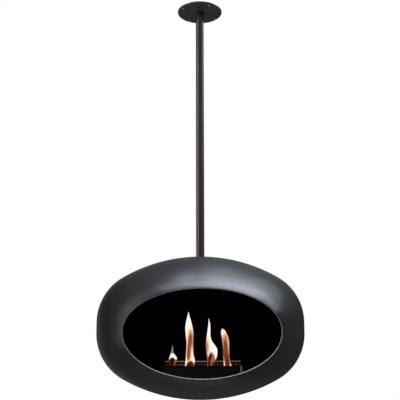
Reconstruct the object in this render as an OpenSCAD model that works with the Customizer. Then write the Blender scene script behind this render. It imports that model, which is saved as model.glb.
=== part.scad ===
// Hanging bioethanol fireplace: an oval dome of two spun steel bowls that swivels on a slim
// ceiling pole, with a lift-out burner box, its fuel tank and a sliding lid inside.
// Millimetres, +Z up. The origin is the centre of the ceiling plate's top face,
// everything hangs below it, and the dome's opening faces -Y.

/* [Ceiling fixing] */
// Diameter of the round ceiling plate
plate_d = 140; // [132:1:180]
// Thickness of the ceiling plate
plate_t = 4; // [4:0.5:8]
// Circle on which the four ceiling screws sit
screw_pcd = 118; // [96:1:124]
// How far the screw circle is turned from the X axis
screw_turn = 31; // [0:1:89]
// Thread diameter of a ceiling screw
screw_d = 5; // [4:0.5:6]
// Length of a ceiling screw above the plate
screw_reach = 38; // [20:1:60]

/* [Pole] */
// Outer diameter of the pole
pole_d = 25; // [22:0.5:30]
// Wall of the pole
pole_wall = 2; // [1.5:0.1:2.5]
// Length of the pole tube
pole_l = 774; // [250:1:2000]

/* [Dome] */
// Outer diameter of the dome
dome_d = 600; // [590:1:620]
// Height of the dome over both crowns
dome_h = 402; // [398:1:410]
// Radius of the shoulder between the waist and each crown
shoulder_r = 144; // [140:1:148]
// Height of the straight band at the waist
waist_h = 30; // [20:1:36]
// Thickness of the steel
shell_t = 3; // [2:0.5:3]
// Radius of the flat land where the pole stands
land_r = 16; // [15:1:30]

/* [Opening] */
// Width of the opening
open_w = 409; // [380:1:420]
// Height of the opening
open_h = 221; // [200:1:230]
// Squareness of its outline, 2 is an ellipse
open_sq = 2; // [2:0.02:2.3]

/* [Burner] */
// Width of the burner box
burner_w = 220; // [218:1:224]
// Depth of the burner box
burner_dp = 104; // [104:1:108]
// Height of the burner box
burner_h = 66; // [60:1:67]
// Height of the burner's deck from the dome's centre
deck_z = -110; // [-111.5:0.5:-106]
// Width of the flame slot
slot_w = 190; // [120:1:190]
// Depth of the flame slot, front to back
slot_dp = 28; // [20:1:28]

/* [Lid] */
// Depth of the sliding lid, front to back
lid_dp = 31; // [31:1:34]
// How far the lid slides forward to close
lid_travel = 57; // [54:0.5:57]

/* [Hidden] */
R = dome_d / 2;
C = dome_h / 2;
S = waist_h / 2;
// Radius of the crown that runs smoothly into the shoulder, and the height of its centre
crown_r = (pow(R - shoulder_r, 2) + pow(C - S, 2) - pow(shoulder_r, 2)) / (2 * (C - S - shoulder_r));
crown_z = C - crown_r;
// Angle above the horizontal at which shoulder and crown meet
meet = atan2(S - crown_z, R - shoulder_r);
// Angle above the horizontal at which the crown stops at the land
land_a = acos(land_r / crown_r);
land_z = crown_z + crown_r * sin(land_a);
// Gap between the land and the pole, filled by the top washer
joint_gap = 1.6;
dome_z = -(plate_t + pole_l + joint_gap + land_z);
bore_r = pole_d / 2 - pole_wall;
sheet = 1.2; // steel sheet of the deck, casing and lid
skin = 1.0;  // stainless sheet of the tank
rail_x = 101.5;
// The lid's rear and front edges when it is open, and the slot that it then leaves free
lid_y1 = 50;
lid_y0 = lid_y1 - lid_dp;
slot_y = (lid_y0 + lid_y1) / 2 - lid_travel;
// The side arm of the lid, outside the burner's right end
arm_x0 = burner_w / 2 + 0.5;
arm_x1 = arm_x0 + 5.6;
arm_top = deck_z - 1.6;
rivet_x = arm_x0 + 2.3;
$fn = 96;

// ---- helpers ----

module at_dome() { translate([0, 0, dome_z]) children(); }

// Half of the dome's section, with its steel off thinner on every side
module half_section(off) {
    far = 400;
    intersection() {
        union() {
            translate([0, -S]) square([R - off, waist_h]);
            for (m = [0, 1]) mirror([0, m]) {
                intersection() {
                    translate([R - shoulder_r, S]) circle(r = shoulder_r - off, $fn = 360);
                    polygon([[R - shoulder_r, S], [R + far, S], [R + far, S + far * sin(meet)],
                        [R - shoulder_r + far * cos(meet), S + far * sin(meet)]]);
                }
                intersection() {
                    translate([0, crown_z]) circle(r = crown_r - off, $fn = 720);
                    polygon([[0, S], [R - shoulder_r, S], [R - shoulder_r + far * cos(meet), S + far * sin(meet)],
                        [0, S + far * sin(meet)]]);
                }
            }
        }
        translate([0, -far]) square([R + far, far + land_z - off]);
    }
}

module dome_solid(off) { rotate_extrude($fn = 180) half_section(off); }

// Radius of the true curved surface at height z near the waist
function surf_r(z) = abs(z) <= S ? R : R - shoulder_r + sqrt(pow(shoulder_r, 2) - pow(abs(z) - S, 2));
// A point of the opening's outline on the outer surface, and the surface normal there
function sq_cos(t) = sign(cos(t)) * pow(abs(cos(t)), 2 / open_sq);
function sq_sin(t) = sign(sin(t)) * pow(abs(sin(t)), 2 / open_sq);
function rim_point(t) = let (x = open_w / 2 * sq_cos(t), z = open_h / 2 * sq_sin(t))
    [x, -sqrt(pow(surf_r(z), 2) - x * x), z];
function rim_normal(t) = let (p = rim_point(t), e = abs(p[2]) <= S ? 0 : sign(p[2]) * asin((abs(p[2]) - S) / shoulder_r),
    r = surf_r(p[2])) [cos(e) * p[0] / r, cos(e) * p[1] / r, sin(e)];

// Cutter for the opening: its wall stands square to the dome's surface all the way round
module opening_cutter(n = 72) {
    ring = [for (i = [0 : n - 1]) 360 * (i + 0.5) / n];
    pts = concat([for (t = ring) rim_point(t) + 14 * rim_normal(t)],
        [for (t = ring) rim_point(t) - (shell_t + 12) * rim_normal(t)],
        [[0, -R - 60, 0], [0, -R / 2, 0]]);
    faces = concat(
        [for (i = [0 : n - 1]) let (j = (i + 1) % n) [i, j, n + j]],
        [for (i = [0 : n - 1]) let (j = (i + 1) % n) [i, n + j, n + i]],
        [for (i = [0 : n - 1]) let (j = (i + 1) % n) [2 * n, j, i]],
        [for (i = [0 : n - 1]) let (j = (i + 1) % n) [2 * n + 1, n + i, n + j]]);
    polyhedron(points = pts, faces = faces, convexity = 4);
}

// Flat plate with round corners, centred
module round_rect(w, d, r) {
    square([w - 2 * r, d], center = true);
    square([w, d - 2 * r], center = true);
    for (x = [-1, 1], y = [-1, 1]) translate([x * (w / 2 - r), y * (d / 2 - r)]) circle(r = r, $fn = 32);
}

module slab(w, d, r, z0, z1) { translate([0, 0, z0]) linear_extrude(height = z1 - z0) round_rect(w, d, r); }

// A flat block given by its two corners
module block(a, b) { translate(a) cube([b[0] - a[0], b[1] - a[1], b[2] - a[2]]); }

module ring_of(n, r, turn = 0) { for (i = [0 : n - 1]) rotate([0, 0, turn + i * 360 / n]) translate([r, 0, 0]) children(); }

// Washer or ring between two heights
module washer(ri, ro, z0, z1) {
    translate([0, 0, z0]) difference() {
        cylinder(r = ro, h = z1 - z0);
        translate([0, 0, -1]) cylinder(r = ri, h = z1 - z0 + 2);
    }
}

// Domed pan head: flat side at z = 0, crown at z = h
module pan_head(r, h) {
    rotate_extrude() polygon(concat([[0, 0], [r, 0], [r, h * 0.35]],
        [for (a = [15 : 15 : 90]) [r * cos(a), h * (0.35 + 0.65 * sin(a))]]));
}

// ---- ceiling fixing and pole, which stay still ----

module ceiling_plate() {
    color("#242424") difference() {
        rotate_extrude() polygon([[0, 0], [plate_d / 2, 0], [plate_d / 2, -plate_t + 1.2],
            [plate_d / 2 - 1.2, -plate_t], [0, -plate_t]]);
        ring_of(4, screw_pcd / 2, screw_turn) translate([0, 0, -plate_t - 1]) cylinder(r = screw_d / 2 + 0.7, h = plate_t + 2);
        translate([0, 0, -plate_t - 1]) cylinder(r = 4.3, h = plate_t + 2);
        translate([0, 0, -3.75]) cylinder(r1 = 4.3, r2 = 9.2, h = 4.9);
    }
}

// Pan head with a cross recess below the plate, shank in the plate's hole, thread and point above
module ceiling_screws() {
    color("#9a9a98") ring_of(4, screw_pcd / 2, screw_turn) {
        difference() {
            translate([0, 0, -plate_t]) mirror([0, 0, 1]) pan_head(screw_d * 1.02, 3);
            for (a = [0, 90]) rotate([0, 0, a]) translate([-2.1, -0.5, -plate_t - 4]) cube([4.2, 1, 2.6]);
        }
        translate([0, 0, -plate_t - 0.01]) cylinder(r = screw_d / 2 - 0.2, h = plate_t + 0.01);
        cylinder(r = screw_d / 2, h = screw_reach - 6);
        translate([0, 0, screw_reach - 6]) cylinder(r1 = screw_d / 2, r2 = 0.4, h = 6);
    }
}

// Countersunk screw through the plate's middle, down into the pole
module pole_screw() {
    color("#a0a09c") difference() {
        union() {
            translate([0, 0, -34]) cylinder(r = 4, h = 30.5);
            translate([0, 0, -4.05]) cylinder(r1 = 4, r2 = 7.9, h = 3.9);
        }
        translate([0, 0, -2.7]) cylinder(r = 2.9, h = 4, $fn = 6);
    }
}

// Steel plug welded into the pole's upper end
module pole_top_plug() {
    color("#6f6f70") translate([0, 0, -plate_t - 36]) difference() {
        cylinder(r = bore_r - 0.05, h = 35.9);
        translate([0, 0, 4]) cylinder(r = 4.05, h = 40);
    }
}

module pole_tube() {
    color("#2b292b") washer(bore_r, pole_d / 2, -plate_t - pole_l, -plate_t);
}

// Steel plug welded into the pole's lower end, threaded right through for the stud
module pole_foot() {
    color("#6f6f70") at_dome() washer(6.05, bore_r - 0.05, land_z + joint_gap, land_z + joint_gap + 40);
}

// Stud that the dome turns on
module swivel_stud() {
    color("#8d8f92") at_dome() translate([0, 0, land_z - 34]) {
        translate([0, 0, 1]) cylinder(r = 6, h = 70);
        cylinder(r1 = 5, r2 = 6, h = 1);
        translate([0, 0, 71]) cylinder(r1 = 6, r2 = 5, h = 1);
    }
}

module top_washer() {
    color("#1c1c1c") at_dome() washer(6.3, pole_d / 2, land_z + 0.2, land_z + 1.4);
}

module thrust_washer() {
    color("#9b9c9e") at_dome() washer(6.3, 15, land_z - 17.9, land_z - 15.3);
}

// Self-locking nut that carries the dome
module swivel_nut() {
    color("#a3a4a6") at_dome() difference() {
        union() {
            intersection() {
                translate([0, 0, land_z - 27.5]) cylinder(r = 10.97, h = 9.5, $fn = 6);
                translate([0, 0, land_z - 27.5]) cylinder(r1 = 9.7, r2 = 21.2, h = 11.5);
            }
            translate([0, 0, land_z - 30]) cylinder(r = 8.6, h = 3);
        }
        translate([0, 0, land_z - 31]) cylinder(r = 6.05, h = 14);
    }
}

// ---- dome, which swivels ----

// Shell of both bowls, cut at the waist; it keeps what lies between two heights
module bowl(z0, z1) {
    at_dome() intersection() {
        difference() {
            dome_solid(0);
            dome_solid(shell_t);
            opening_cutter();
            translate([0, 0, C - 12]) cylinder(r = 8.15, h = 20);
        }
        translate([0, 0, z0]) cylinder(r = R + 10, h = z1 - z0);
    }
}

// Upper bowl, spun, with the land that the swivel passes through
module dome_upper() { color("#232325") bowl(0, C + 5); }

// Lower bowl, butt-welded to the upper one at the waist and ground flush
module dome_lower() { color("#232325") bowl(-C - 5, 0); }

// Turned boss welded under the land to stiffen it and hold the bush
module swivel_hub() {
    color("#5d5d5f") at_dome() difference() {
        intersection() {
            dome_solid(shell_t + 0.05);
            translate([0, 0, land_z - 13]) cylinder(r = 32, h = 20);
        }
        translate([0, 0, land_z - 20]) cylinder(r = 8.05, h = 30);
    }
}

// Flanged bronze bush in the boss and the land
module swivel_bush() {
    color("#b48a4e") at_dome() difference() {
        union() {
            translate([0, 0, land_z - 13.2]) cylinder(r = 8, h = 13.1);
            translate([0, 0, land_z - 15.1]) cylinder(r = 14, h = 2);
        }
        translate([0, 0, land_z - 20]) cylinder(r = 6.06, h = 24);
    }
}

// Posts welded to the crown that hold the heat shield
module shield_standoffs() {
    color("#3a3a3b") at_dome() difference() {
        intersection() {
            dome_solid(shell_t + 0.05);
            ring_of(3, 100, 90) translate([0, 0, 159.4]) cylinder(r = 5, h = 40);
        }
        ring_of(3, 100, 90) translate([0, 0, 158]) cylinder(r = 2.1, h = 17);
    }
}

// Round plate with a turned-down rim that keeps the flames' heat off the swivel
module heat_shield() {
    color("#2a2a2b") at_dome() difference() {
        rotate_extrude() polygon([[22, 158], [123.8, 158], [123.8, 149], [125, 149], [125, 159.2], [22, 159.2]]);
        ring_of(3, 100, 90) translate([0, 0, 150]) cylinder(r = 2.6, h = 20);
    }
}

module shield_screws() {
    color("#8f9092") at_dome() ring_of(3, 100, 90) {
        translate([0, 0, 157.9]) mirror([0, 0, 1]) pan_head(4.6, 3);
        translate([0, 0, 157.9]) cylinder(r = 2, h = 14);
    }
}

tray_top = deck_z - burner_h - 0.2;

// Threaded bosses welded to the bottom of the bowl
module tray_bosses() {
    color("#3a3a3b") at_dome() difference() {
        intersection() {
            dome_solid(shell_t + 0.05);
            for (a = [50, 130, 230, 310]) rotate([0, 0, a]) translate([92, 0, tray_top - 22]) cylinder(r = 7, h = 20.4);
        }
        for (a = [50, 130, 230, 310]) rotate([0, 0, a]) translate([92, 0, tray_top - 7]) cylinder(r = 2.1, h = 8);
    }
}

// Round spill tray that the burner stands on
module burner_tray() {
    color("#202021") at_dome() difference() {
        rotate_extrude() polygon([[0, tray_top - 1.5], [127, tray_top - 1.5], [128, tray_top - 0.5], [128, tray_top + 8],
            [126.6, tray_top + 8], [126.6, tray_top], [0, tray_top]]);
        for (a = [50, 130, 230, 310]) rotate([0, 0, a]) translate([92, 0, tray_top - 3]) cylinder(r = 2.6, h = 5);
    }
}

module tray_screws() {
    color("#8f9092") at_dome() for (a = [50, 130, 230, 310]) rotate([0, 0, a]) translate([92, 0, tray_top]) {
        translate([0, 0, 0.05]) pan_head(4.6, 2.8);
        translate([0, 0, -7]) cylinder(r = 2, h = 7.05);
    }
}

// Angles on the tray that keep the burner from sliding sideways
module burner_clips() {
    color("#202021") at_dome() for (s = [-1, 1]) mirror([s < 0 ? 1 : 0, 0, 0]) {
        block([burner_w / 2 + 0.4, -22, tray_top + 0.05], [burner_w / 2 + 1.9, 22, tray_top + 14]);
        block([burner_w / 2 + 0.4, -22, tray_top + 0.05], [burner_w / 2 + 12, 22, tray_top + 1.5]);
    }
}

// ---- burner, inside the dome ----

casing_top = deck_z - sheet - skin;

// Black outer box, open at the top
module burner_casing() {
    color("#19191a") at_dome() difference() {
        slab(burner_w, burner_dp, 3, deck_z - burner_h, casing_top - 0.05);
        slab(burner_w - 2 * sheet, burner_dp - 2 * sheet, 1.8, deck_z - burner_h + sheet, casing_top + 5);
    }
}

// Stainless tank that hangs in the casing by its flange
module fuel_tank() {
    color("#9fa1a3") at_dome() difference() {
        union() {
            slab(burner_w - 1, burner_dp - 1, 3, casing_top, casing_top + skin - 0.05);
            slab(198, 90, 6, casing_top - 60, casing_top + skin - 0.05);
        }
        slab(196, 88, 5, casing_top - 59, casing_top + 10);
        for (x = [-1, 1], y = [-1, 1]) translate([x * 105.5, y * 45, casing_top - 2]) cylinder(r = 1.55, h = 6);
    }
}

// Ceramic fibre that soaks up the fuel
module fuel_wool() {
    color("#d8d5cc") at_dome() slab(195.4, 87.4, 4.5, casing_top - 58.8, casing_top - 9.4);
}

// Slotted sheet that holds the fibre down
module wool_grid() {
    color("#8a8b8d") at_dome() translate([0, 0, casing_top - 9.2]) linear_extrude(height = 0.8) difference() {
        round_rect(195, 87, 4.4);
        for (i = [-6 : 6], j = [-2 : 2]) translate([i * 14.4, j * 16]) square([11, 12.6], center = true);
    }
}

// Top plate with the flame slot and a low front lip
module burner_deck() {
    color("#161617") at_dome() {
        difference() {
            slab(burner_w, burner_dp, 3, deck_z - sheet, deck_z);
            translate([0, slot_y, 0]) slab(slot_w, slot_dp, 4, deck_z - 5, deck_z + 5);
            for (x = [-1, 1], y = [-1, 1]) translate([x * 105.5, y * 45, deck_z - 4]) cylinder(r = 1.55, h = 8);
        }
        block([-burner_w / 2 + 3, -burner_dp / 2, deck_z - 0.2], [burner_w / 2 - 3, -burner_dp / 2 + sheet, deck_z + 2.2]);
    }
}

// Z-section guides along both ends of the deck
module lid_rails() {
    color("#1b1b1c") at_dome() for (s = [0, 1]) mirror([s, 0, 0]) difference() {
        translate([0, 51.4, 0]) rotate([90, 0, 0]) linear_extrude(height = 100.4)
            polygon([[rail_x, deck_z], [108.8, deck_z], [108.8, deck_z + 1.1], [rail_x + 1.1, deck_z + 1.1],
                [rail_x + 1.1, deck_z + 2.7], [rail_x - 2.9, deck_z + 2.7], [rail_x - 2.9, deck_z + 1.7], [rail_x, deck_z + 1.7]]);
        for (y = [-1, 1]) translate([105.5, y * 45, deck_z - 2]) cylinder(r = 1.55, h = 6);
    }
}

// Rivets through the guides, the deck and the tank's flange
module rail_rivets() {
    color("#8f9092") at_dome() for (x = [-1, 1], y = [-1, 1]) translate([x * 105.5, y * 45, 0]) {
        translate([0, 0, deck_z + 1.15]) pan_head(2.6, 1.3);
        translate([0, 0, casing_top - 0.4]) cylinder(r = 1.5, h = deck_z + 1.15 - casing_top + 0.4);
        translate([0, 0, casing_top - 1.6]) cylinder(r1 = 1.5, r2 = 2.3, h = 1.2);
    }
}

// ---- lid, which slides forward over the slot ----

// Flat slider with an upturned front lip that carries on over the guides and down outside the box
module lid_plate() {
    color("#2a2a2b") at_dome() difference() {
        union() {
            block([-rail_x + 0.3, lid_y0, deck_z + 0.2], [rail_x - 0.3, lid_y1, deck_z + 0.2 + sheet]);
            block([-rail_x + 3.7, lid_y0, deck_z + 0.2], [rail_x - 3.7, lid_y0 + sheet, deck_z + 7]);
            block([-107, lid_y0, deck_z + 3.1], [arm_x1 + 2, lid_y0 + sheet, deck_z + 7]);
            block([arm_x0, lid_y0, deck_z - 15], [arm_x1 + 2, lid_y0 + sheet, deck_z + 7]);
        }
        for (z = [-4.5, -12]) translate([rivet_x, lid_y0 + 5, deck_z + z]) rotate([90, 0, 0]) cylinder(r = 1.3, h = 10);
    }
}

// Side arm outside the box's right end with a turned grip at the front corner
module lid_handle() {
    color("#b9babb") at_dome() difference() {
        union() {
            block([arm_x0, lid_y0 - sheet - 0.05, deck_z - 15], [arm_x1, lid_y0 - 0.05, arm_top]);
            block([arm_x1 - sheet, -burner_dp / 2 + 1, deck_z - 15], [arm_x1, lid_y0 - 0.05, arm_top]);
            block([arm_x0, -burner_dp / 2, deck_z - 15.5], [arm_x1, -burner_dp / 2 + 1.6, deck_z + 0.7]);
        }
        for (z = [-4.5, -12]) translate([rivet_x, lid_y0 + 5, deck_z + z]) rotate([90, 0, 0]) cylinder(r = 1.3, h = 10);
    }
}

module handle_rivets() {
    color("#9d9ea0") at_dome() for (z = [-4.5, -12]) translate([rivet_x, lid_y0 + sheet, deck_z + z]) rotate([90, 0, 0]) {
        translate([0, 0, -0.05]) cylinder(r = 1.25, h = 2 * sheet + 0.15);
        translate([0, 0, 2 * sheet + 0.1]) pan_head(1.9, 0.9);
        translate([0, 0, -0.05]) mirror([0, 0, 1]) pan_head(1.9, 0.9);
    }
}

ceiling_plate();
ceiling_screws();
pole_screw();
pole_top_plug();
pole_tube();
pole_foot();
swivel_stud();
top_washer();
thrust_washer();
swivel_nut();
dome_upper();
dome_lower();
swivel_hub();
swivel_bush();
shield_standoffs();
heat_shield();
shield_screws();
tray_bosses();
burner_tray();
tray_screws();
burner_clips();
burner_casing();
fuel_tank();
fuel_wool();
wool_grid();
burner_deck();
lid_rails();
rail_rivets();
lid_plate();
lid_handle();
handle_rivets();
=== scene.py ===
import math
import bpy
import bmesh
from mathutils import Vector, Matrix, Quaternion, noise


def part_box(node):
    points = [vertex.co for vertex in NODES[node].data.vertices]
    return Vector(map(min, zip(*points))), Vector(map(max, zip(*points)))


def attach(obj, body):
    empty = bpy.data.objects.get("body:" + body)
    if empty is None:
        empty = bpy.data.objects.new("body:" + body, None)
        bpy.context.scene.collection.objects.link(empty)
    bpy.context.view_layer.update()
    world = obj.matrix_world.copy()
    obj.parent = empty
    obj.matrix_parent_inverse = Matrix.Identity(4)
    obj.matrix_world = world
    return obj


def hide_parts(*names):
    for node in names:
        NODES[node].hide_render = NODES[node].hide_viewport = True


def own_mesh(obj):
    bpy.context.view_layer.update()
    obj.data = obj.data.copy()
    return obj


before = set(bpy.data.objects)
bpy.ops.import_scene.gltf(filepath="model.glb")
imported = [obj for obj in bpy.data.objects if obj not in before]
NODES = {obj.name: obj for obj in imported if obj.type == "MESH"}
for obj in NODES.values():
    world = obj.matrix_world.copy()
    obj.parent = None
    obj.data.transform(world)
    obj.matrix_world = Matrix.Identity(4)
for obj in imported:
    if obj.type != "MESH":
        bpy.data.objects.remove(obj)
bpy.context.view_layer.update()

scene = bpy.context.scene

# ---------------------------------------------------------------- sizes, metres
R, C, S, RK, LAND, T = 0.300, 0.201, 0.015, 0.144, 0.016, 0.003
OPEN_A, OPEN_B, OPEN_P = 0.2045, 0.1105, 2.0
CR = ((R - RK) ** 2 + (C - S) ** 2 - RK ** 2) / (2 * (C - S - RK))
CZ = C - CR
MEET = math.atan2(S - CZ, R - RK)
LAND_Z = CZ + math.sqrt(CR * CR - LAND * LAND)
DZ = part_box("dome_lower")[0].z + C      # height of the dome's centre
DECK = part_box("burner_deck")[1].z       # top of the burner's deck


# ---------------------------------------------------------------- camera
cam_data = bpy.data.cameras.new("camera")
cam_data.lens = 50.0
cam_data.sensor_width = 36.0
cam_data.clip_start, cam_data.clip_end = 0.05, 60.0
cam = bpy.data.objects.new("camera", cam_data)
scene.collection.objects.link(cam)
yaw, pitch, roll = math.radians(1.31), math.radians(8.717), math.radians(-0.12)
cam.location = (-0.03851, -1.66576, DZ + 0.11689)
look = Vector((math.sin(yaw) * math.cos(pitch), math.cos(yaw) * math.cos(pitch), math.sin(pitch)))
cam.rotation_mode = "QUATERNION"
cam.rotation_quaternion = look.to_track_quat("-Z", "Y") @ Quaternion((0, 0, 1), roll)
scene.camera = cam


# ---------------------------------------------------------------- node helpers
def new_mat(name):
    m = bpy.data.materials.new(name)
    m.use_nodes = True
    nt = m.node_tree
    nt.nodes.clear()
    out = nt.nodes.new("ShaderNodeOutputMaterial")
    return m, nt, out


def noise_tex(nt, coord, scale, detail=3.0, rough=0.55, stretch=None):
    """Noise in metres of the object, optionally stretched along the axes."""
    src = coord
    if stretch:
        mp = nt.nodes.new("ShaderNodeMapping")
        mp.inputs["Scale"].default_value = stretch
        nt.links.new(coord, mp.inputs["Vector"])
        src = mp.outputs["Vector"]
    n = nt.nodes.new("ShaderNodeTexNoise")
    n.inputs["Scale"].default_value = scale
    n.inputs["Detail"].default_value = detail
    n.inputs["Roughness"].default_value = rough
    nt.links.new(src, n.inputs["Vector"])
    return n


def remap(nt, value, lo, hi, a=0.3, b=0.7):
    n = nt.nodes.new("ShaderNodeMapRange")
    n.inputs["From Min"].default_value = a
    n.inputs["From Max"].default_value = b
    n.inputs["To Min"].default_value = lo
    n.inputs["To Max"].default_value = hi
    nt.links.new(value, n.inputs["Value"])
    return n.outputs["Result"]


def mix_rgb(nt, fac, a, b):
    n = nt.nodes.new("ShaderNodeMix")
    n.data_type = "RGBA"
    n.inputs["A"].default_value = (*a, 1.0) if len(a) == 3 else a
    n.inputs["B"].default_value = (*b, 1.0) if len(b) == 3 else b
    nt.links.new(fac, n.inputs["Factor"])
    return n.outputs["Result"]


def zone(nt, coord, axis, a, b):
    """Rises from 0 to 1 between two places along one of the object's axes."""
    parts = nt.nodes.new("ShaderNodeSeparateXYZ")
    nt.links.new(coord, parts.inputs[0])
    n = nt.nodes.new("ShaderNodeMapRange")
    n.interpolation_type = "SMOOTHSTEP"
    n.inputs["From Min"].default_value = min(a, b)
    n.inputs["From Max"].default_value = max(a, b)
    n.inputs["To Min"].default_value = 0.0 if a < b else 1.0
    n.inputs["To Max"].default_value = 1.0 if a < b else 0.0
    nt.links.new(parts.outputs["XYZ".index(axis)], n.inputs["Value"])
    return n.outputs["Result"]


def times(nt, *sockets):
    last = sockets[0]
    for s in sockets[1:]:
        m = nt.nodes.new("ShaderNodeMath")
        m.operation = "MULTIPLY"
        nt.links.new(last, m.inputs[0])
        nt.links.new(s, m.inputs[1])
        last = m.outputs[0]
    return last


def bump(nt, heights):
    """Chain of bumps: (height socket, strength, distance)."""
    last = None
    for h, strength, dist in heights:
        b = nt.nodes.new("ShaderNodeBump")
        b.inputs["Strength"].default_value = strength
        b.inputs["Distance"].default_value = dist
        nt.links.new(h, b.inputs["Height"])
        if last is not None:
            nt.links.new(last, b.inputs["Normal"])
        last = b.outputs["Normal"]
    return last


def coat(name, dark, light, rough, var, spec=0.5, grain=1400.0, grain_strength=0.22, peel=210.0, peel_strength=0.05, coat_weight=0.0):
    """Powder coat or stove paint: a fine grain, a soft orange peel and cloudy roughness."""
    m, nt, out = new_mat(name)
    tc = nt.nodes.new("ShaderNodeTexCoord").outputs["Object"]
    p = nt.nodes.new("ShaderNodeBsdfPrincipled")
    cloud = noise_tex(nt, tc, 9.0, 3.0, 0.5)
    fine = noise_tex(nt, tc, grain, 2.0, 0.6)
    orange = noise_tex(nt, tc, peel, 2.0, 0.5)
    nt.links.new(mix_rgb(nt, remap(nt, cloud.outputs["Fac"], 0.0, 1.0), dark, light), p.inputs["Base Color"])
    nt.links.new(remap(nt, cloud.outputs["Fac"], rough - var, rough + var), p.inputs["Roughness"])
    p.inputs["Specular IOR Level"].default_value = spec
    if coat_weight:
        p.inputs["Coat Weight"].default_value = coat_weight
        p.inputs["Coat Roughness"].default_value = 0.12
    nt.links.new(bump(nt, [(fine.outputs["Fac"], grain_strength, 0.0002), (orange.outputs["Fac"], peel_strength, 0.002)]), p.inputs["Normal"])
    nt.links.new(p.outputs["BSDF"], out.inputs["Surface"])
    return m


def metal(name, dark, light, rough, var, stretch=(1.0, 1.0, 1.0), scale=300.0, lines=0.15, tint=None, tint_scale=30.0, metallic=1.0, dark_zones=()):
    """Bare metal: brushing lines along the short axis of stretch, fine wear and an optional heat tint."""
    m, nt, out = new_mat(name)
    tc = nt.nodes.new("ShaderNodeTexCoord").outputs["Object"]
    p = nt.nodes.new("ShaderNodeBsdfPrincipled")
    brush = noise_tex(nt, tc, scale, 4.0, 0.6, stretch)
    wear = noise_tex(nt, tc, 45.0, 5.0, 0.6)
    colour = mix_rgb(nt, remap(nt, brush.outputs["Fac"], 0.0, 1.0), dark, light)
    if tint:
        patch = noise_tex(nt, tc, tint_scale, 3.0, 0.5)
        n = nt.nodes.new("ShaderNodeMix")
        n.data_type = "RGBA"
        n.inputs["B"].default_value = (*tint, 1.0)
        nt.links.new(remap(nt, patch.outputs["Fac"], 0.0, 0.75, 0.42, 0.68), n.inputs["Factor"])
        nt.links.new(colour, n.inputs["A"])
        colour = n.outputs["Result"]
    # Near black (0.035, 0.022, 0.020) across each given zone along one of the object's axes.
    for axis, a, b in dark_zones:
        n = nt.nodes.new("ShaderNodeMix")
        n.data_type = "RGBA"
        n.inputs["B"].default_value = (0.035, 0.022, 0.020, 1.0)
        nt.links.new(zone(nt, tc, axis, a, b), n.inputs["Factor"])
        nt.links.new(colour, n.inputs["A"])
        colour = n.outputs["Result"]
    nt.links.new(colour, p.inputs["Base Color"])
    nt.links.new(remap(nt, wear.outputs["Fac"], rough - var, rough + var), p.inputs["Roughness"])
    p.inputs["Metallic"].default_value = metallic
    nt.links.new(bump(nt, [(brush.outputs["Fac"], lines, 0.0003), (wear.outputs["Fac"], 0.04, 0.001)]), p.inputs["Normal"])
    nt.links.new(p.outputs["BSDF"], out.inputs["Surface"])
    return m


def deck_paint(name):
    """The burner's paint, burned down to tinted steel along the back of the flame slot."""
    m, nt, out = new_mat(name)
    tc = nt.nodes.new("ShaderNodeTexCoord").outputs["Object"]
    p = nt.nodes.new("ShaderNodeBsdfPrincipled")
    cloud = noise_tex(nt, tc, 9.0, 4.0)
    fine = noise_tex(nt, tc, 1100.0, 2.0, 0.6)
    patch = noise_tex(nt, tc, 70.0, 4.0, 0.6, (0.35, 1.0, 1.0))
    paint = mix_rgb(nt, remap(nt, cloud.outputs["Fac"], 0.0, 1.0), (0.014, 0.012, 0.011), (0.021, 0.019, 0.017))
    steel = mix_rgb(nt, remap(nt, patch.outputs["Fac"], 0.0, 1.0), (0.20, 0.115, 0.10), (0.40, 0.27, 0.24))
    burned = times(nt, zone(nt, tc, "Y", -0.0100, -0.0082), zone(nt, tc, "Y", 0.0060, -0.0010), remap(nt, patch.outputs["Fac"], 0.45, 1.0, 0.38, 0.55))
    mix = nt.nodes.new("ShaderNodeMix")
    mix.data_type = "RGBA"
    nt.links.new(burned, mix.inputs["Factor"])
    nt.links.new(paint, mix.inputs["A"])
    nt.links.new(steel, mix.inputs["B"])
    nt.links.new(mix.outputs["Result"], p.inputs["Base Color"])
    nt.links.new(remap(nt, cloud.outputs["Fac"], 0.56, 0.68), p.inputs["Roughness"])
    p.inputs["Specular IOR Level"].default_value = 0.2
    nt.links.new(bump(nt, [(fine.outputs["Fac"], 0.25, 0.0002), (patch.outputs["Fac"], 0.10, 0.0006)]), p.inputs["Normal"])
    nt.links.new(p.outputs["BSDF"], out.inputs["Surface"])
    return m


def plastic(name, dark, light, rough):
    m, nt, out = new_mat(name)
    tc = nt.nodes.new("ShaderNodeTexCoord").outputs["Object"]
    p = nt.nodes.new("ShaderNodeBsdfPrincipled")
    cloud = noise_tex(nt, tc, 120.0, 3.0)
    fine = noise_tex(nt, tc, 2200.0, 2.0)
    nt.links.new(mix_rgb(nt, remap(nt, cloud.outputs["Fac"], 0.0, 1.0), dark, light), p.inputs["Base Color"])
    nt.links.new(remap(nt, fine.outputs["Fac"], rough - 0.08, rough + 0.08), p.inputs["Roughness"])
    nt.links.new(bump(nt, [(fine.outputs["Fac"], 0.15, 0.0001)]), p.inputs["Normal"])
    nt.links.new(p.outputs["BSDF"], out.inputs["Surface"])
    return m


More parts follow.
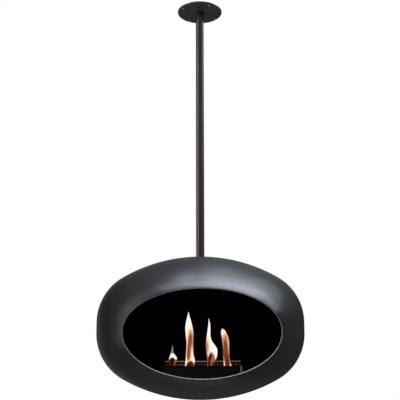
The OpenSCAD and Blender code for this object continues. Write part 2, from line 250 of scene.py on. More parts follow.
def fibre_mat(name):
    """Ceramic fibre: matted strands, off-white, singed in patches."""
    m, nt, out = new_mat(name)
    tc = nt.nodes.new("ShaderNodeTexCoord").outputs["Object"]
    p = nt.nodes.new("ShaderNodeBsdfPrincipled")
    strands = noise_tex(nt, tc, 420.0, 6.0, 0.7, (1.0, 0.35, 1.0))
    cross = noise_tex(nt, tc, 380.0, 6.0, 0.7, (0.3, 1.0, 1.0))
    singe = noise_tex(nt, tc, 26.0, 4.0, 0.6)
    mix = nt.nodes.new("ShaderNodeMix")
    mix.data_type = "RGBA"
    mix.inputs["B"].default_value = (0.16, 0.12, 0.09, 1.0)
    nt.links.new(remap(nt, singe.outputs["Fac"], 0.0, 0.55, 0.45, 0.75), mix.inputs["Factor"])
    nt.links.new(mix_rgb(nt, remap(nt, strands.outputs["Fac"], 0.0, 1.0), (0.50, 0.47, 0.43), (0.74, 0.72, 0.68)), mix.inputs["A"])
    nt.links.new(mix.outputs["Result"], p.inputs["Base Color"])
    p.inputs["Roughness"].default_value = 0.95
    p.inputs["Specular IOR Level"].default_value = 0.1
    nt.links.new(bump(nt, [(strands.outputs["Fac"], 0.7, 0.0008), (cross.outputs["Fac"], 0.6, 0.0008)]), p.inputs["Normal"])
    nt.links.new(p.outputs["BSDF"], out.inputs["Surface"])
    return m


M = {
    "dome": coat("dome_coat", (0.030, 0.030, 0.030), (0.034, 0.034, 0.034), 0.296, 0.014, grain_strength=0.10, peel_strength=0.02),
    # Painted highlight: the rim's cut face is coated black like the dome; this light grey stands in for the bright line
    # the lamps draw along the edge.
    "edge": coat("rim_painted_highlight", (0.40, 0.40, 0.40), (0.52, 0.52, 0.52), 0.40, 0.05, grain=900.0, grain_strength=0.15),
    # Partly painted shade: the inside's own black paint, made far darker and flatter than the outer coat so that the
    # inside stays black under the lamps; also used on the swivel hub inside.
    "inner": coat("inner_coat", (0.0025, 0.0025, 0.0025), (0.0045, 0.0045, 0.0045), 0.92, 0.05, spec=0.02, grain=900.0, grain_strength=0.3),
    # Painted light: the plate has the same satin black as the pole; this grey stands in for the light on its underside.
    "plate": coat("plate_coat", (0.150, 0.145, 0.137), (0.176, 0.170, 0.162), 0.14, 0.02, spec=0.8, grain_strength=0.04, peel_strength=0.008),
    "pole": coat("pole_coat", (0.066, 0.054, 0.058), (0.078, 0.064, 0.068), 0.254, 0.014, grain=2200.0, grain_strength=0.05, peel_strength=0.008),
    "paint": coat("stove_paint", (0.010, 0.010, 0.010), (0.016, 0.015, 0.015), 0.70, 0.06, spec=0.25, grain=1000.0, grain_strength=0.3),
    "casing": coat("casing_paint", (0.017, 0.0163, 0.015), (0.023, 0.022, 0.020), 0.60, 0.06, spec=0.22, grain=1100.0, grain_strength=0.25),
    "screw": metal("zinc_steel", (0.42, 0.42, 0.41), (0.62, 0.62, 0.60), 0.34, 0.08, scale=500.0, lines=0.08),
    "turned": metal("turned_steel", (0.26, 0.26, 0.27), (0.42, 0.42, 0.42), 0.38, 0.08, (0.05, 0.05, 1.0), 700.0, 0.2),
    "stainless": metal("stainless", (0.40, 0.40, 0.41), (0.58, 0.58, 0.58), 0.30, 0.07, (0.05, 0.05, 1.0), 700.0, 0.15),
    "acetal": plastic("black_acetal", (0.020, 0.020, 0.020), (0.034, 0.034, 0.034), 0.42),
    "bronze": metal("sintered_bronze", (0.42, 0.27, 0.12), (0.62, 0.43, 0.22), 0.42, 0.08, scale=900.0, lines=0.25),
    "tank": metal("heat_tinted_steel", (0.30, 0.29, 0.28), (0.46, 0.45, 0.43), 0.36, 0.08, (1.0, 0.04, 1.0), 900.0, 0.12, tint=(0.26, 0.15, 0.07)),
    # Painted light: the lid is blackened steel; its light pink colour, with pink patches, stands in for the flames'
    # glow on its rear lip. Below the deck's top and at the left end the glow is left out and the lid turns near black.
    "lid": metal("lid_steel_painted_flame_glow", (0.72, 0.50, 0.47), (0.88, 0.64, 0.60), 0.42, 0.05, (0.03, 1.0, 1.0), 900.0, 0.12, tint=(0.66, 0.44, 0.41), metallic=0.25,
                 dark_zones=[("Z", DECK + 0.0028, DECK + 0.0014), ("X", -0.099, -0.107)]),
    "rail": metal("rail_steel", (0.26, 0.19, 0.18), (0.42, 0.32, 0.30), 0.46, 0.06, (1.0, 0.04, 1.0), 900.0, 0.12, tint=(0.18, 0.10, 0.09), metallic=0.5, dark_zones=[("X", -0.080, -0.104)]),
    "deck": deck_paint("deck_paint"),
    "handle": metal("brushed_handle", (0.62, 0.62, 0.63), (0.78, 0.78, 0.79), 0.42, 0.05, (1.0, 1.0, 0.04), 1200.0, 0.12, metallic=0.4),
    "fibre": fibre_mat("ceramic_fibre"),
}

NODE_MAT = {
    "ceiling_plate": "plate", "ceiling_screws": "screw", "pole_screw": "screw", "pole_top_plug": "turned",
    "pole_tube": "pole", "pole_foot": "turned", "swivel_stud": "stainless", "top_washer": "acetal",
    "thrust_washer": "stainless", "swivel_nut": "stainless", "dome_upper": "dome", "dome_lower": "dome",
    "swivel_hub": "inner", "swivel_bush": "bronze", "shield_standoffs": "paint", "heat_shield": "paint",
    "shield_screws": "screw", "tray_bosses": "paint", "burner_tray": "paint", "tray_screws": "screw",
    "burner_clips": "paint", "burner_casing": "casing", "fuel_tank": "tank", "fuel_wool": "fibre",
    "wool_grid": "tank", "burner_deck": "deck", "lid_rails": "rail", "rail_rivets": "screw",
    "lid_plate": "lid", "lid_handle": "handle", "handle_rivets": "screw",
}
for n, o in NODES.items():
    o.data.materials.clear()
    o.data.materials.append(M[NODE_MAT[n]])


def soften(node, width, segments=2, angle=35.0):
    """Rounds a CAD node's sharp edges for the eye with modifiers only; its own vertices stay as they are."""
    o = NODES[node]
    w = o.modifiers.new("weld", "WELD")
    w.merge_threshold = 1e-6
    b = o.modifiers.new("edges", "BEVEL")
    b.width = width
    b.segments = segments
    b.limit_method = "ANGLE"
    b.angle_limit = math.radians(angle)
    b.use_clamp_overlap = True
    b.harden_normals = False
    wn = o.modifiers.new("normals", "WEIGHTED_NORMAL")
    wn.keep_sharp = False


# ---------------------------------------------------------------- the dome
def hit(h, v, top):
    """Distance from the dome's centre along the direction (h outwards, v up or down), and the surface normal there."""
    if h > 1e-9 and R / h * v <= S:
        return R / h, 1.0, 0.0
    a = R - RK
    b = h * a + v * S
    disc = b * b - (a * a + S * S - RK * RK)
    if h > 1e-9 and disc > 0:
        rho = b + math.sqrt(disc)
        e = math.atan2(rho * v - S, rho * h - a)
        if -1e-9 <= e <= MEET:
            return rho, math.cos(e), math.sin(e)
    b = v * CZ
    rho = b + math.sqrt(b * b - CZ * CZ + CR * CR)
    if top and rho * v > LAND_Z:
        return LAND_Z / v, 0.0, 1.0
    return rho, rho * h / CR, (rho * v - CZ) / CR


def on_dome(u):
    """Point and normal where the direction u leaves the dome."""
    h, z = math.hypot(u.x, u.y), u.z
    rho, nh, nz = hit(h, abs(z), z > 0)
    if h > 1e-9:
        n = Vector((nh * u.x / h, nh * u.y / h, math.copysign(nz, z)))
    else:
        n = Vector((0, 0, math.copysign(1.0, z)))
    return u * rho, n.normalized()


def rim(t):
    """Point, normal and outward direction along the surface at one place of the opening's edge."""
    def at(t):
        c, s = math.cos(t), math.sin(t)
        x = OPEN_A * math.copysign(abs(c) ** (2 / OPEN_P), c)
        z = OPEN_B * math.copysign(abs(s) ** (2 / OPEN_P), s)
        r = R if abs(z) <= S else R - RK + math.sqrt(RK * RK - (abs(z) - S) ** 2)
        return Vector((x, -math.sqrt(r * r - x * x), z))
    p = at(t)
    _, n = on_dome(p.normalized())
    tangent = (at(t + 0.004) - at(t - 0.004)).normalized()
    away = n.cross(tangent)
    if away.dot(Vector((p.x, 0, p.z))) < 0:
        away = -away
    return p, n, away.normalized()


def build_dome():
    cols, rows_mat = [], None
    count, far_rows, edge_r = 224, 78, 0.00045
    for i in range(count):
        t = 2 * math.pi * (i + 0.5) / count
        p, n, away = rim(t)
        u0 = p.normalized()
        psi0 = math.acos(max(-1.0, min(1.0, u0.y)))
        w = Vector((u0.x, 0, u0.z)).normalized()
        near = [0.0012, 0.0032, 0.0062]
        deltas = [d / p.length for d in near]
        rest = psi0 - deltas[-1]
        deltas += [deltas[-1] + rest * k / far_rows for k in range(1, far_rows)]
        outer, inner = [], []
        for d in deltas:
            psi = psi0 - d
            q, m = on_dome(w * math.sin(psi) + Vector((0, math.cos(psi), 0)))
            outer.append(q)
            inner.append(q - m * T)
        col = list(reversed(outer))
        arc = [math.radians(a) for a in (0, 22.5, 45, 67.5, 90)]
        c_out = p + away * edge_r - n * edge_r
        col += [c_out + (n * math.cos(a) - away * math.sin(a)) * edge_r for a in arc]
        c_in = p + away * edge_r - n * (T - edge_r)
        split = len(col)
        col += [c_in + (-away * math.cos(a) - n * math.sin(a)) * edge_r for a in arc]
        col += inner
        cols.append(col)
        rows_mat = split
    bm = bmesh.new()
    vs = [[bm.verts.new(q) for q in col] for col in cols]
    pole_out = bm.verts.new((0, R, 0))
    pole_in = bm.verts.new((0, R - T, 0))
    rows = len(cols[0])
    for i in range(count):
        j = (i + 1) % count
        for k in range(rows - 1):
            f = bm.faces.new((vs[i][k], vs[i][k + 1], vs[j][k + 1], vs[j][k]))
            f.material_index = 0 if k < rows_mat - 3 else 2 if k < rows_mat + 2 else 1
        bm.faces.new((pole_out, vs[i][0], vs[j][0]))
        f = bm.faces.new((pole_in, vs[j][-1], vs[i][-1]))
        f.material_index = 1
    bmesh.ops.recalc_face_normals(bm, faces=bm.faces)
    for f in bm.faces:
        f.smooth = True
    me = bpy.data.meshes.new("dome_skin")
    bm.to_mesh(me)
    bm.free()
    o = bpy.data.objects.new("dome_skin", me)
    scene.collection.objects.link(o)
    o.location = (0, 0, DZ)
    return o


def cylinder_tool(name, r, z0, z1, count=96):
    bm = bmesh.new()
    a = [bm.verts.new((r * math.cos(2 * math.pi * i / count), r * math.sin(2 * math.pi * i / count), z0)) for i in range(count)]
    b = [bm.verts.new((v.co.x, v.co.y, z1)) for v in a]
    bm.faces.new(list(reversed(a)))
    bm.faces.new(b)
    for i in range(count):
        j = (i + 1) % count
        bm.faces.new((a[i], a[j], b[j], b[i]))
    me = bpy.data.meshes.new(name)
    bm.to_mesh(me)
    bm.free()
    o = bpy.data.objects.new(name, me)
    scene.collection.objects.link(o)
    return o


def bake_modifiers(o):
    """Leaves the object with the mesh that its modifiers make."""
    bpy.context.view_layer.update()
    dg = bpy.context.evaluated_depsgraph_get()
    me = bpy.data.meshes.new_from_object(o.evaluated_get(dg))
    o.modifiers.clear()
    old = o.data
    o.data = me
    bpy.data.meshes.remove(old)


dome = build_dome()
for k in ("dome", "inner", "edge"):
    dome.data.materials.append(M[k])
drill = cylinder_tool("drill", 0.00815, DZ + 0.15, DZ + 0.25)
cut = dome.modifiers.new("hole", "BOOLEAN")
cut.operation = "DIFFERENCE"
cut.solver = "EXACT"
cut.object = drill
bake_modifiers(dome)
bpy.data.objects.remove(drill)
for poly in dome.data.polygons:
    poly.use_smooth = True
dome.data.set_sharp_from_angle(angle=math.radians(50.0))
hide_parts("dome_upper", "dome_lower")
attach(dome, "dome")


# ---------------------------------------------------------------- fibre pad in the tank
def build_fibre():
    lo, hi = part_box("fuel_wool")
    nx, ny = 90, 42
    bm = bmesh.new()
    top, corner = [], 0.0045
    cx, cy = (lo.x + hi.x) / 2, (lo.y + hi.y) / 2
    hx, hy = (hi.x - lo.x) / 2, (hi.y - lo.y) / 2

    def fit(u, v):
        """Maps the square onto a rectangle with round corners."""
        x, y = u * hx, v * hy
        ax, ay = abs(x) - (hx - corner), abs(y) - (hy - corner)
        if ax > 0 and ay > 0:
            m = max(ax, ay)
            k = m / math.hypot(ax, ay)
            x = math.copysign(hx - corner + ax * k, x)
            y = math.copysign(hy - corner + ay * k, y)
        return x, y
    for j in range(ny + 1):
        row = []
        for i in range(nx + 1):
            u, v = 2 * i / nx - 1, 2 * j / ny - 1
            x, y = fit(u, v)
            d = noise.noise(Vector((x * 95, y * 95, 3.1))) + 0.5 * noise.noise(Vector((x * 260, y * 260, 7.7)))
            edge = max(abs(u), abs(v)) ** 10
            row.append(bm.verts.new((cx + x, cy + y, hi.z - 0.0008 * (0.6 + 0.5 * d) - 0.0022 * edge)))
        top.append(row)
    for j in range(ny):
        for i in range(nx):
            bm.faces.new((top[j][i], top[j][i + 1], top[j + 1][i + 1], top[j + 1][i]))
    loop = [top[0][i] for i in range(nx)] + [top[j][nx] for j in range(ny)] + \
        [top[ny][i] for i in range(nx, 0, -1)] + [top[j][0] for j in range(ny, 0, -1)]
    last = loop
    steps = 9
    for k in range(1, steps + 1):
        ring = []
        for v in loop:
            z = v.co.z + (lo.z - v.co.z) * k / steps
            s = 1 - 0.006 * abs(noise.noise(Vector((v.co.x * 120, v.co.y * 120, z * 120)))) * (k < steps)
            ring.append(bm.verts.new((cx + (v.co.x - cx) * s, cy + (v.co.y - cy) * s, z)))
        for i in range(len(loop)):
            j = (i + 1) % len(loop)
            bm.faces.new((last[i], ring[i], ring[j], last[j]))
        last = ring
    bm.faces.new(list(reversed(last)))
    bmesh.ops.recalc_face_normals(bm, faces=bm.faces)
    for f in bm.faces:
        f.smooth = len(f.verts) == 4
    me = bpy.data.meshes.new("fibre_pad")
    bm.to_mesh(me)
    bm.free()
    o = bpy.data.objects.new("fibre_pad", me)
    scene.collection.objects.link(o)
    o.data.materials.append(M["fibre"])
    return o


pad = build_fibre()
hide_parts("fuel_wool")
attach(pad, "burner")


# ---------------------------------------------------------------- edges of the sheet-metal parts
for node, width in (("burner_casing", 0.0004), ("burner_deck", 0.0003), ("lid_plate", 0.00028),
                    ("lid_handle", 0.0003), ("lid_rails", 0.0002), ("burner_clips", 0.0003),
                    ("heat_shield", 0.0003), ("burner_tray", 0.0003), ("fuel_tank", 0.0002),
                    ("ceiling_plate", 0.0003)):
    soften(node, width)
for node in ("rail_rivets", "handle_rivets", "tray_screws", "shield_screws"):
    NODES[node].modifiers.new("weld", "WELD").merge_threshold = 2e-6


# ---------------------------------------------------------------- flames
def smooth(points, n):
    """Catmull-Rom through (z, left, right), resampled to n levels evenly in height."""
    out = []
    zs = [p[0] for p in points]
    for i in range(n):
        z = zs[0] + (zs[-1] - zs[0]) * i / (n - 1)
        k = max(j for j in range(len(zs) - 1) if zs[j] <= z + 1e-12)
        p0, p1, p2, p3 = points[max(k - 1, 0)], points[k], points[k + 1], points[min(k + 2, len(points) - 1)]
        t = (z - p1[0]) / (p2[0] - p1[0])
        vals = []
        for c in (1, 2):
            m1 = (p2[c] - p0[c]) / (p2[0] - p0[0]) * (p2[0] - p1[0])
            m2 = (p3[c] - p1[c]) / (p3[0] - p1[0]) * (p2[0] - p1[0])
            t2, t3 = t * t, t * t * t
            vals.append((2 * t3 - 3 * t2 + 1) * p1[c] + (t3 - 2 * t2 + t) * m1 + (-2 * t3 + 3 * t2) * p2[c] + (t3 - t2) * m2)
        out.append((z, *vals))
    return out


def step(x, a, b):
    t = max(0.0, min(1.0, (x - a) / (b - a)))
    return t * t * (3 - 2 * t)


def painted(value, layers, x, z):
    """Mixes soft ellipses over a value: (x, z, half width, half height, lean, value, amount, softness)."""
    for cx, cz, rx, rz, lean, target, amount, soft in layers:
        a = math.radians(lean)
        dx, dz = x - cx, z - cz
        r = math.hypot((dx * math.cos(a) - dz * math.sin(a)) / rx, (dx * math.sin(a) + dz * math.cos(a)) / rz)
        value += (target - value) * amount * (1 - step(r, 1 - soft, 1 + soft * 0.35))
    return value


def flame_mat():
    """Emission whose colour follows the heat stored in the mesh, with a drifting flicker, thin where the veil is low."""
    m, nt, out = new_mat("flame")
    heat = nt.nodes.new("ShaderNodeAttribute")
    heat.attribute_name = "glow"
    veil = nt.nodes.new("ShaderNodeAttribute")
    veil.attribute_name = "veil"
    tc = nt.nodes.new("ShaderNodeTexCoord").outputs["Object"]
    flick = noise_tex(nt, tc, 90.0, 3.0, 0.5, (1.0, 1.0, 0.3))
    drift = remap(nt, flick.outputs["Fac"], -0.05, 0.05)
    total = nt.nodes.new("ShaderNodeMath")
    total.operation = "ADD"
    nt.links.new(heat.outputs["Fac"], total.inputs[0])
    nt.links.new(drift, total.inputs[1])
    ramp = nt.nodes.new("ShaderNodeValToRGB")
    e = ramp.color_ramp.elements
    stops = [(0.0, (0.018, 0.0012, 0.0006)), (0.15, (0.062, 0.010, 0.004)), (0.30, (0.200, 0.037, 0.018)),
             (0.42, (0.305, 0.088, 0.038)), (0.55, (0.54, 0.235, 0.135)), (0.70, (0.77, 0.45, 0.285)),
             (0.85, (0.95, 0.74, 0.50)), (1.0, (1.0, 0.98, 0.86))]
    e[0].position, e[0].color = stops[0][0], (*stops[0][1], 1.0)
    e[1].position, e[1].color = stops[-1][0], (*stops[-1][1], 1.0)
    for pos, col in stops[1:-1]:
        e.new(pos).color = (*col, 1.0)
    nt.links.new(total.outputs[0], ramp.inputs["Fac"])
    em = nt.nodes.new("ShaderNodeEmission")
    em.inputs["Strength"].default_value = 1.0
    nt.links.new(ramp.outputs["Color"], em.inputs["Color"])
    tr = nt.nodes.new("ShaderNodeBsdfTransparent")
    mixs = nt.nodes.new("ShaderNodeMixShader")
    nt.links.new(veil.outputs["Fac"], mixs.inputs["Fac"])
    nt.links.new(tr.outputs["BSDF"], mixs.inputs[1])
    nt.links.new(em.outputs["Emission"], mixs.inputs[2])
    nt.links.new(mixs.outputs["Shader"], out.inputs["Surface"])
    return m


FLAME = flame_mat()
FLAME_Y = -0.0225
# outline as height, left and right, then the soft ellipses of heat and of veil; millimetres from the dome's centre
FLAMES = {
    "flame_1": dict(
        base=0.97,
        points=[(-119.4, -88.6, -75.0), (-110.2, -89.5, -75.0), (-103.2, -90.4, -71.4), (-95.2, -91.0, -68.3), (-87.2, -89.2, -68.8),
              (-81.1, -87.0, -73.4), (-76.1, -85.7, -77.7), (-69.1, -84.2, -78.6), (-61.1, -82.5, -79.3), (-53.1, -80.9, -80.2)],
        heat=[(-82.3, -54.3, 8.6, 21.0, 0, 0.93, 0.9, 0.4), (-81.2, -103.6, 10.6, 17.4, 0, 0.0, 1.0, 0.22),
              (-91.7, -107.4, 8.6, 15.7, 0, 0.12, 1.0, 0.45), (-71.2, -106.4, 6.6, 15.7, 0, 0.48, 1.0, 0.4),
              (-86.8, -116.8, 4.6, 12.6, 0, 0.14, 0.8, 0.6)],
        veil=[(-81.5, -50.1, 25.8, 28.6, 0, 0.14, 1.0, 0.1), (-82.3, -51.8, 25.8, 11.2, 0, 0.08, 0.8, 0.6),
              (-92.3, -111.3, 8.0, 18.5, 0, 0.22, 1.0, 0.4), (-70.6, -110.3, 6.9, 20.2, 0, 0.4, 1.0, 0.35),
              (-64.9, -105.3, 7.5, 14.0, 0, 0.0, 1.0, 0.3)]),
    "flame_2": dict(
        base=1.0,
        points=[(-119.4, -45.2, -18.9), (-110.0, -44.7, -18.9), (-97.3, -43.3, -16.5), (-82.3, -42.1, -20.2), (-65.2, -41.0, -21.4),
              (-48.2, -40.5, -21.5), (-35.2, -41.8, -21.2), (-21.2, -43.2, -20.8), (-2.5, -44.1, -23.5), (14.9, -41.4, -27.8),
              (28.9, -38.0, -32.2), (40.6, -35.3, -34.7)],
        heat=[(-29.1, -50.4, 13.2, 51.9, 0, 0.82, 0.8, 0.5), (-22.5, -42.0, 5.7, 29.4, 0, 0.6, 0.9, 0.7),
              (-30.3, -39.1, 7.2, 33.7, 2, 0.34, 1.0, 0.85), (-34.3, -74.1, 6.9, 35.1, 3, 0.38, 1.0, 0.6),
              (-28.3, -111.6, 15.5, 20.8, 0, 0.9, 1.0, 0.25), (-29.7, -114.9, 13.2, 20.2, 0, 0.15, 1.0, 0.3),
              (-19.7, -113.9, 3.7, 10.1, 0, 0.42, 0.8, 0.6)],
        veil=[(-34.7, 47.2, 8.6, 11.2, 0, 0.55, 1.0, 0.8)]),
    "flame_3": dict(
        base=1.0,
        points=[(-119.4, 19.8, 30.9), (-107.7, 19.4, 33.2), (-92.8, 18.2, 43.6), (-82.4, 17.4, 47.1), (-74.1, 17.0, 48.0),
              (-64.1, 15.8, 47.2), (-53.7, 15.0, 40.9), (-40.2, 16.2, 31.5), (-26.4, 18.1, 28.5), (-9.3, 20.5, 28.2),
              (2.6, 22.2, 27.8), (12.7, 23.1, 26.1), (21.3, 23.1, 23.6)],
        heat=[(24.4, 17.1, 7.2, 11.2, 0, 0.95, 0.8, 0.8), (15.2, -60.3, 10.3, 29.4, 0, 0.52, 1.0, 0.75),
              (17.0, -96.6, 8.0, 21.3, 0, 0.44, 1.0, 0.5), (40.5, -106.4, 10.3, 16.8, 0, 0.5, 0.95, 0.6),
              (32.0, -95.3, 10.0, 24.7, 0, 0.42, 1.0, 0.35), (26.0, -88.0, 4.0, 16.8, 8, 0.06, 1.0, 0.6),
              (24.4, -109.1, 4.3, 15.1, 0, 0.08, 0.9, 0.4), (32.4, -111.9, 3.4, 12.6, 0, 0.44, 0.8, 0.6)],
        veil=[(24.5, 24.8, 8.6, 9.0, 0, 0.72, 1.0, 0.8), (16.4, -104.6, 6.9, 19.6, 0, 0.48, 1.0, 0.5),
              (28.2, -107.7, 10.3, 12.3, 0, 0.5, 1.0, 0.4), (44.5, -108.1, 9.2, 14.6, 0, 0.3, 1.0, 0.5)]),
    "flame_4": dict(
        base=0.84,
        points=[(-119.4, 66.3, 89.1), (-110.5, 66.4, 88.2), (-99.6, 65.8, 84.2), (-86.5, 65.2, 82.4), (-74.3, 64.9, 82.2),
              (-57.5, 63.7, 82.3), (-40.4, 62.3, 82.0), (-29.4, 60.7, 79.2), (-19.4, 59.4, 74.4), (-12.4, 59.9, 70.0),
              (-8.6, 62.5, 65.4)],
        heat=[(63.6, -18.8, 9.5, 15.0, 0, 0.97, 0.85, 0.8), (71.8, -70.4, 17.8, 51.9, 0, 0.66, 0.95, 0.25),
              (70.0, -48.0, 7.2, 23.8, 5, 0.43, 1.0, 0.9), (71.2, -69.0, 8.3, 29.4, 1, 0.32, 1.0, 0.5),
              (74.5, -88.5, 7.7, 18.5, 0, 0.28, 1.0, 0.4), (76.6, -108.0, 7.7, 18.2, 0, 0.23, 1.0, 0.4),
              (64.6, -110.4, 5.2, 12.9, 0, 0.82, 1.0, 0.5), (86.6, -113.3, 4.3, 12.9, 0, 0.84, 1.0, 0.6)],
        veil=[]),
}


def build_flame(name, spec, seed):
    levels, around = 110, 52
    pts = smooth([(z / 1000, a / 1000, b / 1000) for z, a, b in spec["points"]], levels)
    z0, z1 = pts[0][0], pts[-1][0]
    bm = bmesh.new()
    lh = bm.verts.layers.float.new("glow")
    lv = bm.verts.layers.float.new("veil")

    def paint(vert, side):
        x, z = vert.co.x * 1000, vert.co.z * 1000
        vert[lh] = painted(spec["base"], spec["heat"], x, z)
        vert[lv] = painted(1.0, spec["veil"], x, z) * (1 - 0.45 * step(abs(side), 0.955, 1.0))
    rings = []
    for z, a, b in pts:
        v = (z - z0) / (z1 - z0)
        cx, hw = (a + b) / 2, max((b - a) / 2, 0.0003)
        hd = min(0.72 * hw + 0.0010, 0.0125)
        cy = FLAME_Y + 0.003 * v * math.sin(3.0 * v + seed)
        ring = []
        for i in range(around):
            t = 2 * math.pi * i / around
            ripple = 1 + 0.08 * v * noise.noise(Vector((math.cos(t) * 1.3 + seed, math.sin(t) * 1.3, z * 60)))
            vert = bm.verts.new((cx + hw * math.cos(t), cy + hd * math.sin(t) * ripple, z))
            paint(vert, math.cos(t))
            ring.append(vert)
        rings.append(ring)
    for r0, r1 in zip(rings, rings[1:]):
        for i in range(around):
            j = (i + 1) % around
            bm.faces.new((r0[i], r0[j], r1[j], r1[i]))
    tip = bm.verts.new((sum(v.co.x for v in rings[-1]) / around, sum(v.co.y for v in rings[-1]) / around, z1 + 0.0006))
    paint(tip, 0.98)
    for i in range(around):
        bm.faces.new((rings[-1][i], rings[-1][(i + 1) % around], tip))
    foot = bm.verts.new((sum(v.co.x for v in rings[0]) / around, FLAME_Y, z0))
    paint(foot, 0.0)
    for i in range(around):
        bm.faces.new((rings[0][(i + 1) % around], rings[0][i], foot))
    bmesh.ops.recalc_face_normals(bm, faces=bm.faces)
    for f in bm.faces:
        f.smooth = True
    me = bpy.data.meshes.new(name)
    bm.to_mesh(me)
    bm.free()
    o = bpy.data.objects.new(name, me)
    scene.collection.objects.link(o)
    o.location = (0, 0, DZ)
    o.data.materials.append(FLAME)
    o.visible_shadow = False
    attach(o, "burner")
    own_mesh(o)
    return o


flames = [build_flame(n, spec, i * 1.7) for i, (n, spec) in enumerate(FLAMES.items())]


# ---------------------------------------------------------------- studio
def floor_mat():
    m, nt, out = new_mat("floor")
    tc = nt.nodes.new("ShaderNodeTexCoord").outputs["Object"]
    d = nt.nodes.new("ShaderNodeBsdfDiffuse")
    nt.links.new(mix_rgb(nt, remap(nt, noise_tex(nt, tc, 3.0, 3.0).outputs["Fac"], 0.0, 1.0), (0.80, 0.80, 0.80), (0.83, 0.83, 0.83)), d.inputs["Color"])
    em = nt.nodes.new("ShaderNodeEmission")
    em.inputs["Color"].default_value = (1, 1, 1, 1)
    em.inputs["Strength"].default_value = 0.42
    both = nt.nodes.new("ShaderNodeAddShader")
    nt.links.new(d.outputs["BSDF"], both.inputs[0])
    nt.links.new(em.outputs["Emission"], both.inputs[1])
    clear = nt.nodes.new("ShaderNodeBsdfTransparent")
    side = nt.nodes.new("ShaderNodeMixShader")
    geo = nt.nodes.new("ShaderNodeNewGeometry")
    nt.links.new(geo.outputs["Backfacing"], side.inputs["Fac"])
    nt.links.new(both.outputs["Shader"], side.inputs[1])
    nt.links.new(clear.outputs["BSDF"], side.inputs[2])
    nt.links.new(side.outputs["Shader"], out.inputs["Surface"])
    return m


bm = bmesh.new()
bmesh.ops.create_circle(bm, cap_ends=True, segments=128, radius=3.6)
me = bpy.data.meshes.new("floor")
bm.to_mesh(me)
bm.free()
floor = bpy.data.objects.new("floor", me)
scene.collection.objects.link(floor)
floor.location = (0, 0, -2.4)
floor.data.materials.append(floor_mat())
floor.visible_diffuse = False
floor.visible_glossy = False
floor.visible_shadow = False


def ceiling_mat():
    """White from below for the camera, clear from above."""
    m, nt, out = new_mat("ceiling")
    em = nt.nodes.new("ShaderNodeEmission")
    em.inputs["Color"].default_value = (1, 1, 1, 1)
    em.inputs["Strength"].default_value = 1.0
    clear = nt.nodes.new("ShaderNodeBsdfTransparent")
    side = nt.nodes.new("ShaderNodeMixShader")
    geo = nt.nodes.new("ShaderNodeNewGeometry")
    nt.links.new(geo.outputs["Backfacing"], side.inputs["Fac"])
    nt.links.new(em.outputs["Emission"], side.inputs[1])
    nt.links.new(clear.outputs["BSDF"], side.inputs[2])
    nt.links.new(side.outputs["Shader"], out.inputs["Surface"])
    return m


bm = bmesh.new()
bmesh.ops.create_circle(bm, cap_ends=True, segments=96, radius=0.45)
bmesh.ops.reverse_faces(bm, faces=bm.faces)
me = bpy.data.meshes.new("ceiling")
bm.to_mesh(me)
bm.free()
ceiling = bpy.data.objects.new("ceiling", me)
scene.collection.objects.link(ceiling)
ceiling.location = (0, 0, 0.0004)
ceiling.data.materials.append(ceiling_mat())
for flag in ("visible_diffuse", "visible_glossy", "visible_transmission", "visible_shadow"):
    setattr(ceiling, flag, False)


def softbox(name, az, el, roll, width, height, radiance, colour=(1.0, 1.0, 1.0), dist=7.0, aim=(0.0, 0.0, 0.0)):
    """Area light far off in a direction (az from the front, + to the right), with its sizes as seen from one metre."""
    a, e, t = math.radians(az), math.radians(el), math.radians(roll)
    back = Vector((math.sin(a) * math.cos(e), -math.cos(a) * math.cos(e), math.sin(e)))
    side = Vector((math.cos(a), math.sin(a), 0.0))
    up = back.cross(side)
    if up.z < 0:
        up = -up
    ly = (up * math.cos(t) - side * math.sin(t)).normalized()
    lx = ly.cross(back).normalized()
    data = bpy.data.lights.new(name, "AREA")
    data.shape = "RECTANGLE"
    data.size, data.size_y = width * dist, height * dist
    data.energy = radiance * math.pi * data.size * data.size_y
    data.color = colour
    o = bpy.data.objects.new(name, data)
    scene.collection.objects.link(o)
    o.matrix_world = Matrix.Translation(Vector(aim) + Vector((0, 0, DZ)) + back * dist) @ Matrix((lx, ly, back)).transposed().to_4x4()
    o.visible_camera = False
    return o


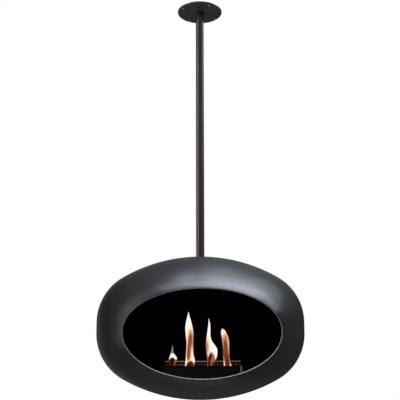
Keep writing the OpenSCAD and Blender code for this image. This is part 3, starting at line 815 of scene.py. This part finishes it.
softbox("key_strip", 91.7, 68.2, -1.9, 0.15, 2.40, 9.08, (0.925, 1.0, 1.14))
softbox("key_soft", 116.7, 70.0, -50.0, 0.52, 1.25, 3.30, (0.925, 1.0, 1.14))
softbox("top", 116.0, 58.3, 132.4, 0.89, 1.11, 1.32, (0.925, 1.0, 1.14))
softbox("left_strip", -89.0, 22.5, -3.5, 0.15, 1.50, 1.59, (0.95, 1.0, 1.11))
softbox("left_line", -62.0, 14.0, 0.0, 0.12, 0.66, 7.5, (1.04, 0.99, 0.99))
softbox("low_left", -72.7, -73.1, -12.7, 0.47, 1.60, 0.23, (1.05, 1.0, 0.99))
softbox("back", -172.6, 4.8, -40.9, 1.60, 0.76, 0.11)
softbox("front", 14.0, 25.0, 0.0, 1.00, 0.50, 1.75).visible_glossy = False
softbox("pole_line", -64.0, 8.0, 0.0, 0.20, 0.90, 5.6, (1.04, 0.99, 0.99)).visible_diffuse = False

world = bpy.data.worlds.new("studio")
scene.world = world
world.use_nodes = True
nt = world.node_tree
nt.nodes.clear()
wout = nt.nodes.new("ShaderNodeOutputWorld")
seen = nt.nodes.new("ShaderNodeBackground")
seen.inputs["Color"].default_value = (1, 1, 1, 1)
seen.inputs["Strength"].default_value = 1.0
lit = nt.nodes.new("ShaderNodeBackground")
lit.inputs["Color"].default_value = (1.05, 1.0, 0.99, 1)
way = nt.nodes.new("ShaderNodeTexCoord")
parts = nt.nodes.new("ShaderNodeSeparateXYZ")
nt.links.new(way.outputs["Generated"], parts.inputs[0])
glow = remap(nt, parts.outputs["Z"], 0.134, 0.003, -1.0, 0.0)
nt.links.new(glow, lit.inputs["Strength"])
path = nt.nodes.new("ShaderNodeLightPath")
both = nt.nodes.new("ShaderNodeMixShader")
nt.links.new(path.outputs["Is Camera Ray"], both.inputs["Fac"])
nt.links.new(lit.outputs["Background"], both.inputs[1])
nt.links.new(seen.outputs["Background"], both.inputs[2])
nt.links.new(both.outputs["Shader"], wout.inputs["Surface"])

scene.view_settings.view_transform = "Standard"
scene.view_settings.look = "None"
scene.view_settings.exposure = 0.0
scene.view_settings.gamma = 1.0
